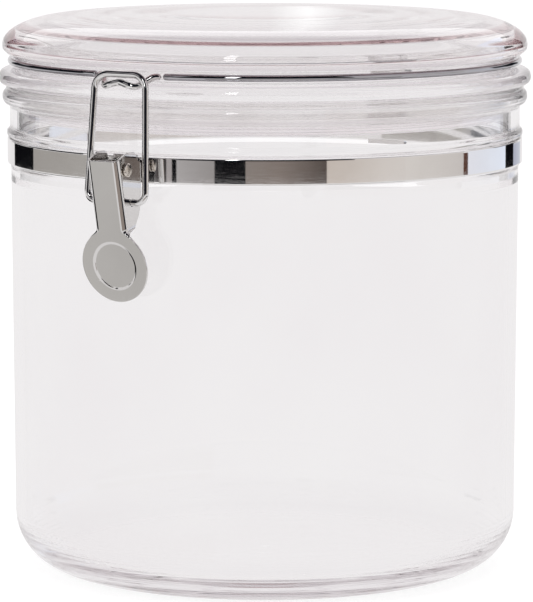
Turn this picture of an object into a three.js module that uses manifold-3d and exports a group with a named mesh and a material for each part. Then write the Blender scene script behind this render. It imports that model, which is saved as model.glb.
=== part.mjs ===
// Round clear food canister with a hinged plug lid, a steel neck band and an over-centre wire clamp.
// Millimetres. +Z is up, the origin is the centre of the underside, the clamp faces -Y, the hinge +Y.
import * as THREE from 'three';
import { mergeVertices } from 'three/addons/utils/BufferGeometryUtils.js';
import Module from 'manifold-3d';

const wasm = await Module();
wasm.setup();

// ---------------------------------------------------------------- driving dimensions
const RUNNING_GAP = 0.3;              // clearance kept between pieces that touch
const ROUND_SEGMENTS = 64;            // facets round the canister

const BODY_FOOT_RADIUS = 91.7;        // outer radius just above the rounded foot
const BODY_NECK_RADIUS = 92.6;        // outer radius below the band, after the draft
const FOOT_CORNER = 21;               // rounding between the underside and the wall
const INSIDE_CORNER = 13;             // rounding between the floor and the wall, inside
const WALL = 3.2;
const FLOOR = 7;
const RIM_TOP = 175.6;                // face of the body that the gasket lies on
const RIM_BEAD_RADIUS = 95.6;

const LID_TOP = 203.2;                // flat in the middle of the lid
const LID_FLAT_RADIUS = 38;
const LID_SHOULDER = 202;             // level of the lid where its rounded edge begins
const LID_RADIUS = 95.6;              // widest point of the rounded lid edge
const LID_FLANGE_RADIUS = 96.9;       // lower lip of the lid
const LID_FLANGE_BOTTOM = 177.7;
const LID_SKIN = 3;
const LID_COLLAR = 1.6;               // thickness of the wall behind the wire groove
const PLUG_RADIUS = 86.5;
const PLUG_BOTTOM = 165.6;
const PLUG_FLOOR = 1.8;
const PLUG_BEAD = 0.7;                // how far the bead round the plug's foot stands out
const GROOVE_RADIUS = 91;             // bottom of the groove that the wire ring lies in
const GROOVE_LOW = 183.8;
const GROOVE_HIGH = 188.6;

const WIRE = 1.2;                     // radius of the ring, catch and loop wire
const RING_HEIGHT = 186.1;
const RING_RADIUS = GROOVE_RADIUS + RUNNING_GAP + WIRE;

const BAND_LOW = 149.2;
const BAND_HIGH = 158.2;
const BAND_OUTER = 93.9;
const BAND_INNER = 93.15;
const BRACKET_BELOW = 1.5;            // how far the bracket plates reach past the band's lower edge
const BRACKET_ABOVE = 0.8;            // and past its upper edge

const SHEET = 0.8;                    // thickness of the stamped steel pieces
const LEVER_HALF_WIDTH = 6.3;
const LEVER_TOP = { out: 110.5, up: 157.8 };
const LEVER_LEAN = 0.2217;            // radians that the front plate leans in towards its paddle
const LEVER_WALL_FOOT = 131.8;        // where the side walls run out on the plate
const NECK_LENGTH = 24;
const SHOULDER_FLARE = 1;             // the neck widens by this before it meets the paddle
const SHOULDER_HALF_WIDTH = 9.2;      // half width where the shoulders meet the paddle's rim
const PADDLE_RADIUS = 13.1;
const PADDLE_DOWN = 38.1;             // from the plate's top to the paddle's centre, along the plate
const DIMPLE_RADIUS = 8.4;
const DIMPLE_DEPTH = 0.4;
const PIVOT = { out: 104.2, up: 154.6 };
const PIVOT_PIN = 1.5;
const PIN_HEAD = 2.4;
const PIN_CLEARANCE = 0.35;           // between a pin and the rim of its hole

const LOOP_FOOT = { out: 100.8, up: 143 };
const LOOP_BAR = { out: 97.7, up: 186.9 };
const LOOP_FOOT_HALF = 11.9;          // half the spread of the legs at the foot
const LOOP_BAR_HALF = 10.2;           // half the spread of the legs at the bar
const FOOT_TIP = 4.6;                 // how near the middle the feet end
const FOOT_BEND = 5.5;
const BAR_BEND = 5.5;

const HINGE = { out: 101.5, up: 186.1 };
const HINGE_HALF_WIDTH = 8.2;
const HINGE_PIN = 1.4;
const HINGE_PIN_HEAD = 2.2;
const KNUCKLE_RADIUS = 2.6;

// ---------------------------------------------------------------- materials
function material(name, colour, roughness, metalness) {
  return new THREE.MeshStandardMaterial({ name, color: colour, roughness, metalness });
}

const clearPlastic = () => material('clear_plastic', 0xe9e6e5, 0.06, 0);
const silicone = () => material('clear_silicone', 0xdedcd8, 0.4, 0);
const chromeWire = () => material('chrome_wire', 0xc9c8c6, 0.12, 1);
const polishedSteel = () => material('polished_steel', 0xb0aca8, 0.2, 1);

// ---------------------------------------------------------------- geometry helpers
function node(name, geometry, nodeMaterial) {
  const mesh = new THREE.Mesh(geometry, nodeMaterial);
  mesh.name = name;
  return mesh;
}

// Points of an arc in a profile plane; angles in degrees.
function arcPoints(centreA, centreB, radius, fromDegrees, toDegrees, steps) {
  const points = [];
  for (let i = 0; i <= steps; i += 1) {
    const angle = THREE.MathUtils.degToRad(fromDegrees + ((toDegrees - fromDegrees) * i) / steps);
    points.push([centreA + radius * Math.cos(angle), centreB + radius * Math.sin(angle)]);
  }
  return points;
}

// Solid of revolution about Z from [radius, height] points that run anticlockwise.
function revolve(points, segments = ROUND_SEGMENTS) {
  const profile = points.map(([radius, height]) => new THREE.Vector2(radius, height));
  const geometry = new THREE.LatheGeometry(profile, segments);
  return geometry.rotateX(Math.PI / 2);
}

function closedRing(points) {
  return revolve([...points, points[0]]);
}

function polygon(points) {
  return new THREE.Shape(points.map(([a, b]) => new THREE.Vector2(a, b)));
}

function circularHole(shape, a, b, radius) {
  const hole = new THREE.Path();
  hole.absarc(a, b, radius, 0, Math.PI * 2, true);
  shape.holes.push(hole);
  return shape;
}

// Extrudes an [out, up] outline along X. side is -1 for the clamp at -Y and +1 for the hinge at +Y.
function sideExtrude(shape, fromX, toX, side) {
  const geometry = new THREE.ExtrudeGeometry(shape, {
    depth: toX - fromX,
    bevelEnabled: false,
    curveSegments: 8,
  });
  const start = side > 0 ? fromX : toX;
  const along = new THREE.Vector3(side, 0, 0);
  const out = new THREE.Vector3(0, side, 0);
  const up = new THREE.Vector3(0, 0, 1);
  const matrix = new THREE.Matrix4().makeBasis(out, up, along).setPosition(start, 0, 0);
  return geometry.applyMatrix4(matrix);
}

function wire(curve, steps, radius = WIRE, sides = 8) {
  const section = new THREE.Shape();
  for (let i = 0; i < sides; i += 1) {
    const angle = (2 * Math.PI * (i + 0.5)) / sides;
    const x = radius * Math.cos(angle);
    const y = radius * Math.sin(angle);
    if (i === 0) section.moveTo(x, y);
    else section.lineTo(x, y);
  }
  return new THREE.ExtrudeGeometry(section, { steps, extrudePath: curve, bevelEnabled: false });
}

// Round bar or tube along X, from [x, radius] points, placed on an axis at (out, up).
function turnedAlongX(points, axis, side, segments) {
  const profile = points.map(([x, radius]) => new THREE.Vector2(radius, x));
  const geometry = new THREE.LatheGeometry(profile, segments);
  geometry.rotateZ(-Math.PI / 2);
  return geometry.translate(0, side * axis.out, axis.up);
}

// ---------------------------------------------------------------- joins and cuts
function toSolid(geometry) {
  const bare = geometry.clone();
  bare.deleteAttribute('normal');
  bare.deleteAttribute('uv');
  const merged = mergeVertices(bare, 1e-4);
  return new wasm.Manifold(new wasm.Mesh({
    numProp: 3,
    vertProperties: Float32Array.from(merged.attributes.position.array),
    triVerts: Uint32Array.from(merged.index.array),
  }));
}

function toGeometry(solid) {
  const mesh = solid.getMesh();
  const geometry = new THREE.BufferGeometry();
  geometry.setAttribute('position', new THREE.BufferAttribute(mesh.vertProperties, 3));
  geometry.setIndex(new THREE.BufferAttribute(mesh.triVerts, 1));
  return geometry;
}

function join(...geometries) {
  return toGeometry(geometries.map(toSolid).reduce((whole, piece) => whole.add(piece)));
}

function cut(geometry, ...tools) {
  return toGeometry(tools.map(toSolid).reduce((whole, tool) => whole.subtract(tool), toSolid(geometry)));
}

// ---------------------------------------------------------------- clear body, lid and gasket
function canisterBody() {
  const insideFoot = BODY_FOOT_RADIUS - WALL;
  const insideNeck = BODY_NECK_RADIUS - WALL;
  const footCentre = BODY_FOOT_RADIUS - FOOT_CORNER;
  return revolve([
    [0, 0],
    ...arcPoints(footCentre, FOOT_CORNER, FOOT_CORNER, -90, 0, 7),
    [BODY_NECK_RADIUS, BAND_LOW - 2],
    [BODY_NECK_RADIUS + 0.25, BAND_LOW - 0.4],
    [BODY_NECK_RADIUS + 0.25, BAND_HIGH + 0.4],
    [BAND_OUTER + 0.1, BAND_HIGH + 1.2],
    [BAND_OUTER + 0.1, BAND_HIGH + 2.4],
    [BODY_NECK_RADIUS + 0.3, BAND_HIGH + 3.4],
    [BODY_NECK_RADIUS + 0.3, RIM_TOP - 5.9],
    [RIM_BEAD_RADIUS - 0.8, RIM_TOP - 4.6],
    [RIM_BEAD_RADIUS, RIM_TOP - 2.2],
    [RIM_BEAD_RADIUS - 0.6, RIM_TOP - 0.4],
    [RIM_BEAD_RADIUS - 1.6, RIM_TOP],
    [insideNeck + 0.5, RIM_TOP],
    [insideNeck, RIM_TOP - 0.6],
    [insideNeck, BAND_LOW - 5],
    [insideNeck - 0.5, BAND_LOW - 7],
    ...arcPoints(insideFoot - INSIDE_CORNER, FLOOR + INSIDE_CORNER, INSIDE_CORNER, 0, -90, 6),
    [0, FLOOR],
  ]);
}

// The lower half of the lid: a cup-shaped plug with the flange and the floor of the wire groove.
function lidPlug() {
  const insidePlug = PLUG_RADIUS - LID_SKIN;
  const insideCollar = GROOVE_RADIUS - LID_COLLAR;
  return revolve([
    [0, PLUG_BOTTOM],
    [PLUG_RADIUS - 2 * PLUG_BEAD, PLUG_BOTTOM],
    [PLUG_RADIUS + PLUG_BEAD, PLUG_BOTTOM + 1.4],
    [PLUG_RADIUS + PLUG_BEAD, PLUG_BOTTOM + 2.4],
    [PLUG_RADIUS, PLUG_BOTTOM + 3],
    [PLUG_RADIUS, LID_FLANGE_BOTTOM],
    [LID_FLANGE_RADIUS - 1.4, LID_FLANGE_BOTTOM],
    [LID_FLANGE_RADIUS - 0.2, LID_FLANGE_BOTTOM + 1.2],
    [LID_FLANGE_RADIUS, LID_FLANGE_BOTTOM + 2.6],
    [LID_FLANGE_RADIUS - 0.6, LID_FLANGE_BOTTOM + 4.4],
    [LID_FLANGE_RADIUS - 2, GROOVE_LOW - 0.5],
    [GROOVE_RADIUS + 1, GROOVE_LOW],
    [GROOVE_RADIUS, GROOVE_LOW + 0.4],
    [GROOVE_RADIUS, GROOVE_HIGH - RUNNING_GAP],
    [insideCollar, GROOVE_HIGH - RUNNING_GAP],
    [insideCollar, GROOVE_LOW + 0.5],
    [insidePlug, LID_FLANGE_BOTTOM + 1],
    [insidePlug, PLUG_BOTTOM + PLUG_FLOOR + 1],
    [insidePlug - 1, PLUG_BOTTOM + PLUG_FLOOR],
    [0, PLUG_BOTTOM + PLUG_FLOOR],
  ]);
}

// The upper half of the lid: a shell with a large rounded edge and a slightly raised, flat middle.
function lidCover() {
  const seat = GROOVE_RADIUS - LID_COLLAR;
  return revolve([
    [0, LID_TOP - LID_SKIN],
    [LID_FLAT_RADIUS - 2, LID_TOP - LID_SKIN],
    [LID_FLAT_RADIUS + 18, LID_SHOULDER - LID_SKIN + 0.7],
    [LID_FLAT_RADIUS + 32, LID_SHOULDER - LID_SKIN + 0.2],
    [LID_RADIUS - 18.6, LID_SHOULDER - LID_SKIN - 0.3],
    [LID_RADIUS - 15.6, LID_SHOULDER - LID_SKIN - 0.8],
    [LID_RADIUS - 12.6, LID_SHOULDER - LID_SKIN - 1.5],
    [LID_RADIUS - 10.1, LID_SHOULDER - LID_SKIN - 2.2],
    [seat - 0.4, LID_SHOULDER - LID_SKIN - 3.2],
    [seat, LID_SHOULDER - LID_SKIN - 3.6],
    [seat, GROOVE_HIGH],
    [LID_RADIUS - 2.2, GROOVE_HIGH],
    [LID_RADIUS - 0.4, GROOVE_HIGH + 1.6],
    [LID_RADIUS, GROOVE_HIGH + 3.3],
    [LID_RADIUS - 0.6, LID_SHOULDER - 7.7],
    [LID_RADIUS - 2.6, LID_SHOULDER - 5.4],
    [LID_RADIUS - 5.6, LID_SHOULDER - 3.5],
    [LID_RADIUS - 9.6, LID_SHOULDER - 1.7],
    [LID_RADIUS - 15.6, LID_SHOULDER - 0.4],
    [LID_FLAT_RADIUS + 32, LID_SHOULDER + 0.3],
    [LID_FLAT_RADIUS + 18, LID_SHOULDER + 0.8],
    [LID_FLAT_RADIUS, LID_TOP],
    [0, LID_TOP],
  ]);
}

// Flat sealing ring under the lid flange with a skirt that hugs the plug.
function lidGasket() {
  const inside = PLUG_RADIUS + RUNNING_GAP;
  const low = RIM_TOP + RUNNING_GAP;
  const high = LID_FLANGE_BOTTOM - RUNNING_GAP;
  const skirtLow = PLUG_BOTTOM + 3.4;
  return closedRing([
    [inside, skirtLow],
    [inside + 1.3, skirtLow],
    [inside + 1.6, skirtLow + 0.5],
    [inside + 1.6, low],
    [RIM_BEAD_RADIUS - 1.4, low],
    [RIM_BEAD_RADIUS - 1.2, (low + high) / 2],
    [RIM_BEAD_RADIUS - 1.4, high],
    [inside, high],
  ]);
}

// ---------------------------------------------------------------- wire ring and its catch
// The ring runs all the way round except for the stretch at the front that the catch fills.
const CATCH_HALF_ANGLE = THREE.MathUtils.degToRad(8);

function ringPoint(angleFromFront) {
  return new THREE.Vector3(
    RING_RADIUS * Math.sin(angleFromFront),
    -RING_RADIUS * Math.cos(angleFromFront),
    RING_HEIGHT,
  );
}

function lidWireRing() {
  const points = [];
  const steps = 48;
  const gapAngle = (2 * RUNNING_GAP) / RING_RADIUS;
  const first = CATCH_HALF_ANGLE + gapAngle;
  const span = 2 * Math.PI - 2 * first;
  for (let i = 0; i <= steps; i += 1) {
    points.push(ringPoint(first + (span * i) / steps));
  }
  return wire(new THREE.CatmullRomCurve3(points), 56);
}

// The catch leaves the groove, passes behind the loop's legs and waves under its bar.
function lidCatch() {
  const half = [
    [10.4, 93.2, RING_HEIGHT - 0.2],
    [8.1, 95.2, RING_HEIGHT - 1.9],
    [6.3, 97.8, RING_HEIGHT - 3.2],
    [3.6, 98.9, RING_HEIGHT - 2.7],
  ];
  const left = half.map(([x, out, up]) => new THREE.Vector3(-x, -out, up));
  const right = half.map(([x, out, up]) => new THREE.Vector3(x, -out, up)).reverse();
  const middle = new THREE.Vector3(0, -98.4, LOOP_BAR.up - 2 * WIRE - RUNNING_GAP);
  const ends = [ringPoint(-CATCH_HALF_ANGLE), ringPoint(CATCH_HALF_ANGLE)];
  return wire(new THREE.CatmullRomCurve3([ends[0], ...left, middle, ...right, ends[1]]), 32);
}

// ---------------------------------------------------------------- neck band
function steelBand() {
  return closedRing([
    [BAND_INNER, BAND_LOW],
    [BAND_OUTER, BAND_LOW],
    [BAND_OUTER, BAND_HIGH],
    [BAND_INNER, BAND_HIGH],
  ]);
}

// ---------------------------------------------------------------- clamp at the front
const BRACKET_HALF_WIDTH = LEVER_HALF_WIDTH - SHEET - 2 * RUNNING_GAP;
const BRACKET_EAR_RADIUS = 2.5;
const BRACKET_FACE = BAND_OUTER + RUNNING_GAP;
const PIN_HOLE = PIVOT_PIN + PIN_CLEARANCE;
const FOOT_HOLE = WIRE + RUNNING_GAP;

// The part of a bracket that lies on the band.
function bandPlate(halfWidth, side) {
  const low = BAND_LOW - BRACKET_BELOW;
  const high = BAND_HIGH + BRACKET_ABOVE;
  const outline = polygon([
    [BRACKET_FACE, low],
    [BRACKET_FACE + SHEET, low],
    [BRACKET_FACE + SHEET, high],
    [BRACKET_FACE, high],
  ]);
  return sideExtrude(outline, -halfWidth, halfWidth, side);
}

// The pair of ears that holds a pin, cut from the same outline on both sides.
function earPair(outline, axis, holeRadius, halfWidth, side) {
  const inner = halfWidth - SHEET;
  const ear = circularHole(polygon(outline), axis.out, axis.up, holeRadius);
  return [sideExtrude(ear, -halfWidth, -inner, side), sideExtrude(ear, inner, halfWidth, side)];
}

function latchBracket() {
  const ear = [
    [BRACKET_FACE, BAND_LOW + 1.2],
    [PIVOT.out - 1.5, PIVOT.up - BRACKET_EAR_RADIUS],
    ...arcPoints(PIVOT.out, PIVOT.up, BRACKET_EAR_RADIUS, -90, 90, 8),
    [BRACKET_FACE, PIVOT.up + BRACKET_EAR_RADIUS],
  ];
  return join(
    bandPlate(BRACKET_HALF_WIDTH, -1),
    ...earPair(ear, PIVOT, PIN_HOLE, BRACKET_HALF_WIDTH, -1),
  );
}

// Pin along X with a domed head at each end, clear of the walls that it holds.
function pin(axis, side, shankHalf, shankRadius, headRadius) {
  const head = [
    [shankHalf, shankRadius],
    [shankHalf, headRadius],
    [shankHalf + 0.5, headRadius],
    [shankHalf + 0.85, headRadius * 0.78],
    [shankHalf + 1.05, headRadius * 0.4],
    [shankHalf + 1.1, 0],
  ];
  const mirrored = head.map(([x, r]) => [-x, r]).reverse();
  return turnedAlongX([...mirrored, ...head], axis, side, 16);
}

function leverPivotPin() {
  return pin(PIVOT, -1, LEVER_HALF_WIDTH + RUNNING_GAP, PIVOT_PIN, PIN_HEAD);
}

// The lever's own frame: x across, h up along the front plate from its top edge, z out of the plate.
function leverFrame() {
  const across = new THREE.Vector3(1, 0, 0);
  const up = new THREE.Vector3(0, -Math.sin(LEVER_LEAN), Math.cos(LEVER_LEAN));
  const out = new THREE.Vector3(0, -Math.cos(LEVER_LEAN), -Math.sin(LEVER_LEAN));
  return new THREE.Matrix4().makeBasis(across, up, out).setPosition(0, -LEVER_TOP.out, LEVER_TOP.up);
}

function leverPlate() {
  const start = Math.acos(SHOULDER_HALF_WIDTH / PADDLE_RADIUS);
  const flared = LEVER_HALF_WIDTH + SHOULDER_FLARE;
  const shoulder = -NECK_LENGTH - 1.6 * SHOULDER_FLARE;
  const shape = new THREE.Shape();
  shape.moveTo(-LEVER_HALF_WIDTH, 0);
  shape.lineTo(-LEVER_HALF_WIDTH, -NECK_LENGTH);
  shape.lineTo(-flared, shoulder);
  shape.absarc(0, -PADDLE_DOWN, PADDLE_RADIUS, Math.PI - start, start, false);
  shape.lineTo(flared, shoulder);
  shape.lineTo(LEVER_HALF_WIDTH, -NECK_LENGTH);
  shape.lineTo(LEVER_HALF_WIDTH, 0);
  const geometry = new THREE.ExtrudeGeometry(shape, {
    depth: SHEET,
    bevelEnabled: false,
    curveSegments: 22,
  });
  return geometry.translate(0, 0, -SHEET).applyMatrix4(leverFrame());
}

// Tapered disc that presses the round recess into the paddle.
function leverDimple() {
  const wide = DIMPLE_RADIUS + DIMPLE_DEPTH;
  const narrow = DIMPLE_RADIUS - DIMPLE_DEPTH;
  const disc = new THREE.CylinderGeometry(wide, narrow, 2 * DIMPLE_DEPTH, 32);
  disc.rotateX(Math.PI / 2);
  return disc.translate(0, -PADDLE_DOWN, 0).applyMatrix4(leverFrame());
}

// Side wall: from a point on the front plate back round the pin and down to its narrow foot.
// The wall's front edge lies inside the plate's thickness, so the two join into one sheet.
function leverWall(fromX, toX) {
  const inPlate = SHEET / 8;
  const outAt = (up) => LEVER_TOP.out - (LEVER_TOP.up - up) * Math.tan(LEVER_LEAN) - inPlate;
  const shape = polygon([
    [outAt(LEVER_WALL_FOOT), LEVER_WALL_FOOT],
    [outAt(LEVER_TOP.up) - inPlate / 2, LEVER_TOP.up - inPlate / 2],
    [103.6, 160.2],
    [102.4, 160.5],
    [99.8, 160.5],
    [98, 159.6],
    [97, 157.9],
    [95.3, 156.9],
    [94.7, 155],
    [94.6, 144],
    [95.9, 138.5],
    [99.3, 132.7],
  ]);
  circularHole(shape, PIVOT.out, PIVOT.up, PIN_HOLE);
  circularHole(shape, LOOP_FOOT.out, LOOP_FOOT.up, FOOT_HOLE);
  return sideExtrude(shape, fromX, toX, -1);
}

function latchLever() {
  const inner = LEVER_HALF_WIDTH - SHEET;
  const channel = join(
    leverPlate(),
    leverWall(-LEVER_HALF_WIDTH, -inner),
    leverWall(inner, LEVER_HALF_WIDTH),
  );
  return cut(channel, leverDimple());
}

// One wire: in through each lever wall, out round the foot bend, up the leg and across the bar.
function clampLoop() {
  const length = Math.hypot(LOOP_BAR.out - LOOP_FOOT.out, LOOP_BAR.up - LOOP_FOOT.up);
  const place = (x, along) => {
    const share = along / length;
    const out = LOOP_FOOT.out + (LOOP_BAR.out - LOOP_FOOT.out) * share;
    return new THREE.Vector3(x, -out, LOOP_FOOT.up + (LOOP_BAR.up - LOOP_FOOT.up) * share);
  };
  const legX = (along) => LOOP_FOOT_HALF + ((LOOP_BAR_HALF - LOOP_FOOT_HALF) * along) / length;
  const path = new THREE.CurvePath();
  const leg = (sign) => {
    const tip = place(sign * FOOT_TIP, 0);
    const beforeBend = place(sign * (LOOP_FOOT_HALF - FOOT_BEND), 0);
    const footCorner = place(sign * LOOP_FOOT_HALF, 0);
    const afterBend = place(sign * legX(FOOT_BEND), FOOT_BEND);
    const beforeBar = place(sign * legX(length - BAR_BEND), length - BAR_BEND);
    const barCorner = place(sign * LOOP_BAR_HALF, length);
    const onBar = place(sign * (LOOP_BAR_HALF - BAR_BEND), length);
    return { tip, beforeBend, footCorner, afterBend, beforeBar, barCorner, onBar };
  };
  const left = leg(-1);
  const right = leg(1);
  path.add(new THREE.LineCurve3(left.tip, left.beforeBend));
  path.add(new THREE.QuadraticBezierCurve3(left.beforeBend, left.footCorner, left.afterBend));
  path.add(new THREE.LineCurve3(left.afterBend, left.beforeBar));
  path.add(new THREE.QuadraticBezierCurve3(left.beforeBar, left.barCorner, left.onBar));
  path.add(new THREE.LineCurve3(left.onBar, right.onBar));
  path.add(new THREE.QuadraticBezierCurve3(right.onBar, right.barCorner, right.beforeBar));
  path.add(new THREE.LineCurve3(right.beforeBar, right.afterBend));
  path.add(new THREE.QuadraticBezierCurve3(right.afterBend, right.footCorner, right.beforeBend));
  path.add(new THREE.LineCurve3(right.beforeBend, right.tip));
  return wire(path, 60);
}

// ---------------------------------------------------------------- hinge at the back
const HINGE_HOLE = HINGE_PIN + PIN_CLEARANCE;
const HINGE_EAR_RADIUS = 3;

function hingeBracket() {
  const ear = [
    [BRACKET_FACE, BAND_LOW - BRACKET_BELOW],
    [BRACKET_FACE + 2 * SHEET, BAND_LOW - BRACKET_BELOW],
    [HINGE.out + 1.8, BAND_HIGH + 3],
    ...arcPoints(HINGE.out, HINGE.up, HINGE_EAR_RADIUS, 0, 180, 10),
    [HINGE.out - 3.6, HINGE.up - 6],
    [HINGE.out - 3.6, BAND_HIGH + 6],
    [BRACKET_FACE, BAND_HIGH + BRACKET_ABOVE],
  ];
  const web = polygon([
    [HINGE.out + 1.8 - SHEET, BAND_HIGH + 3],
    [HINGE.out + 1.8, BAND_HIGH + 3],
    [HINGE.out + 1.8 + SHEET, HINGE.up - 9],
    [HINGE.out + 1.8, HINGE.up - 9],
  ]);
  return join(
    bandPlate(HINGE_HALF_WIDTH, 1),
    sideExtrude(web, -HINGE_HALF_WIDTH, HINGE_HALF_WIDTH, 1),
    ...earPair(ear, HINGE, HINGE_HOLE, HINGE_HALF_WIDTH, 1),
  );
}

function hingePin() {
  return pin(HINGE, 1, HINGE_HALF_WIDTH + RUNNING_GAP, HINGE_PIN, HINGE_PIN_HEAD);
}

// Strap welded to the wire ring and rolled into a knuckle round the hinge pin.
function hingeTongue() {
  const half = HINGE_HALF_WIDTH - SHEET - RUNNING_GAP;
  const heel = RING_RADIUS + WIRE + 0.4;
  const strap = polygon([
    [heel, HINGE.up - 1.5],
    [heel + SHEET, HINGE.up - 1.5],
    [heel + SHEET, HINGE.up + 0.2],
    [HINGE.out - 2.1, HINGE.up + 0.2],
    [HINGE.out - 2.1, HINGE.up + 1],
    [heel + SHEET, HINGE.up + 1],
    [heel, HINGE.up + 1],
  ]);
  const knuckle = polygon(arcPoints(HINGE.out, HINGE.up, KNUCKLE_RADIUS, 0, 345, 23));
  circularHole(knuckle, HINGE.out, HINGE.up, HINGE_HOLE);
  return join(
    sideExtrude(strap, -half, half, 1),
    sideExtrude(knuckle, -half, half, 1),
  );
}

// ---------------------------------------------------------------- assembly
const canister = new THREE.Group();
canister.name = 'food_canister';

const fixedPart = new THREE.Group();
fixedPart.add(node('canister_body', canisterBody(), clearPlastic()));
fixedPart.add(node('steel_band', steelBand(), polishedSteel()));
fixedPart.add(node('latch_bracket', latchBracket(), polishedSteel()));
fixedPart.add(node('lever_pivot_pin', leverPivotPin(), polishedSteel()));
fixedPart.add(node('hinge_bracket', hingeBracket(), polishedSteel()));
fixedPart.add(node('hinge_pin', hingePin(), polishedSteel()));

const lid = new THREE.Group();
lid.add(node('lid_cover', lidCover(), clearPlastic()));
lid.add(node('lid_plug', lidPlug(), clearPlastic()));
lid.add(node('lid_gasket', lidGasket(), silicone()));
lid.add(node('lid_wire_ring', lidWireRing(), chromeWire()));
lid.add(node('lid_catch', lidCatch(), chromeWire()));
lid.add(node('hinge_tongue', hingeTongue(), polishedSteel()));

const clamp = new THREE.Group();
clamp.add(node('latch_lever', latchLever(), polishedSteel()));
clamp.add(node('clamp_loop', clampLoop(), chromeWire()));

canister.add(fixedPart, lid, clamp);

export default canister;
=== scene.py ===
import math

import bmesh
import bpy
from mathutils import Matrix, Vector


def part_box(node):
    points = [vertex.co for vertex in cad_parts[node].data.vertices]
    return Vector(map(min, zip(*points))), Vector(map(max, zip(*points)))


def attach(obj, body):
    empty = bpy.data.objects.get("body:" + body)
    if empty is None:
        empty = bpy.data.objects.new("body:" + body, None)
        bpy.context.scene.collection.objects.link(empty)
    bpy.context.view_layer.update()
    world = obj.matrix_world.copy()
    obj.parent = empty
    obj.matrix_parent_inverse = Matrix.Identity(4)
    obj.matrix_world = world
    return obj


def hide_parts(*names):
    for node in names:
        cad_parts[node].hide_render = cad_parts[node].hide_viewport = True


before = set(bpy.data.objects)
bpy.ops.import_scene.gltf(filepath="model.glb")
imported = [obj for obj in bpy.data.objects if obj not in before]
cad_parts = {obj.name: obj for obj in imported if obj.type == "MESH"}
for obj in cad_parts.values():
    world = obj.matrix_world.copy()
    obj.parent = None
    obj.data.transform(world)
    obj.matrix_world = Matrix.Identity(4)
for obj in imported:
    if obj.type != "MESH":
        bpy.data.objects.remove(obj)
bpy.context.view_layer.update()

# ------------------------------------------------------------------ sizes, in millimetres
MM = 0.001
GAP = 0.3                       # air between pieces that touch
ROUND = 288                     # facets round the canister


def node_size(node):
    """Outer radius, lowest and highest point of a round CAD node, in millimetres."""
    low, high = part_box(node)
    return high.x / MM, low.z / MM, high.z / MM


RIM_BEAD, _, RIM_TOP = node_size("canister_body")
BAND_OUTER, BAND_LOW, BAND_HIGH = node_size("steel_band")
LID_FLANGE, PLUG_BOTTOM, PLUG_TOP = node_size("lid_plug")
LID_EDGE, COVER_LOW, LID_TOP = node_size("lid_cover")

FOOT_RADIUS = 91.7              # body radius just above the rounded foot
FOOT_CORNER = 21
INSIDE_CORNER = 13              # rounding between the floor and the wall
NECK_RADIUS = 92.6
BAND_SEAT = 0.25                # the wall stands out by this under the band
LEDGE_OUT = 0.1                 # the ledge above the band stands out from it by this
WALL = 3.2
FLOOR_THICKNESS = 7
LID_SKIN = 3
LID_COLLAR = 1.6                # wall behind the wire groove
LID_SHOULDER = LID_TOP - 1.2    # level of the lid where its rounded edge begins
LID_FLAT_RADIUS = 38            # flat in the middle of the lid
PLUG_FLOOR = 1.8
PLUG_BEAD = 0.7
FLANGE_LOW = RIM_TOP + 2.1
PLUG_RADIUS = 86.5
GASKET_SKIRT = 1.6              # thickness of the skirt that hugs the plug
GASKET_INSET = 1.3              # from the rim's edge to the gasket's edge
BAND_THICKNESS = 0.75
GROOVE_RADIUS = 91
GROOVE_LOW = 183.8
WIRE = 1.2                      # radius of the ring, catch and loop wire
RING_RADIUS = GROOVE_RADIUS + GAP + WIRE
RING_HEIGHT = 186.1
CATCH_HALF_ANGLE = math.radians(8)

SHEET = 0.8                     # thickness of the stamped steel
PLATE_BELOW = 1.5               # how far the bracket plates reach past the band's lower edge
PLATE_ABOVE = 0.8               # and past its upper edge
LEVER_HALF = 6.3
LEVER_TOP = (110.49, 157.8)     # how far out and how high the front plate's top edge is
LEVER_LEAN = 0.2217
LEVER_BEND = 2.0                # outer radius of the folds between plate and walls
PADDLE_RADIUS = 13.1
PADDLE_DOWN = 38.1
DIMPLE_OUTER = 9.1
DIMPLE_INNER = 7.95
DIMPLE_DEPTH = 0.55
PIVOT = (104.2, 154.6)
LOOP_FOOT = (100.8, 143.0)
LOOP_BAR = (97.7, 186.9)
LOOP_FOOT_HALF = 11.9
LOOP_BAR_HALF = 10.2
LOOP_BEND = 5.6
LOOP_FOOT_TIP = 4.6             # how near the middle the loop's feet end
HINGE = (101.5, 186.1)
HINGE_HALF = 8.2
PIVOT_HOLE = 1.85
HINGE_HOLE = 1.75


# ------------------------------------------------------------------ shape helpers
def arc(centre, radius, start, end, steps):
    """Points of an arc in a plane; angles in degrees."""
    points = []
    for i in range(steps + 1):
        a = math.radians(start + (end - start) * i / steps)
        points.append((centre[0] + radius * math.cos(a), centre[1] + radius * math.sin(a)))
    return points


def circle(centre, radius, sides):
    """Points of a whole circle in a plane."""
    return arc(centre, radius, 0, 360 - 360 / sides, sides - 1)


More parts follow.
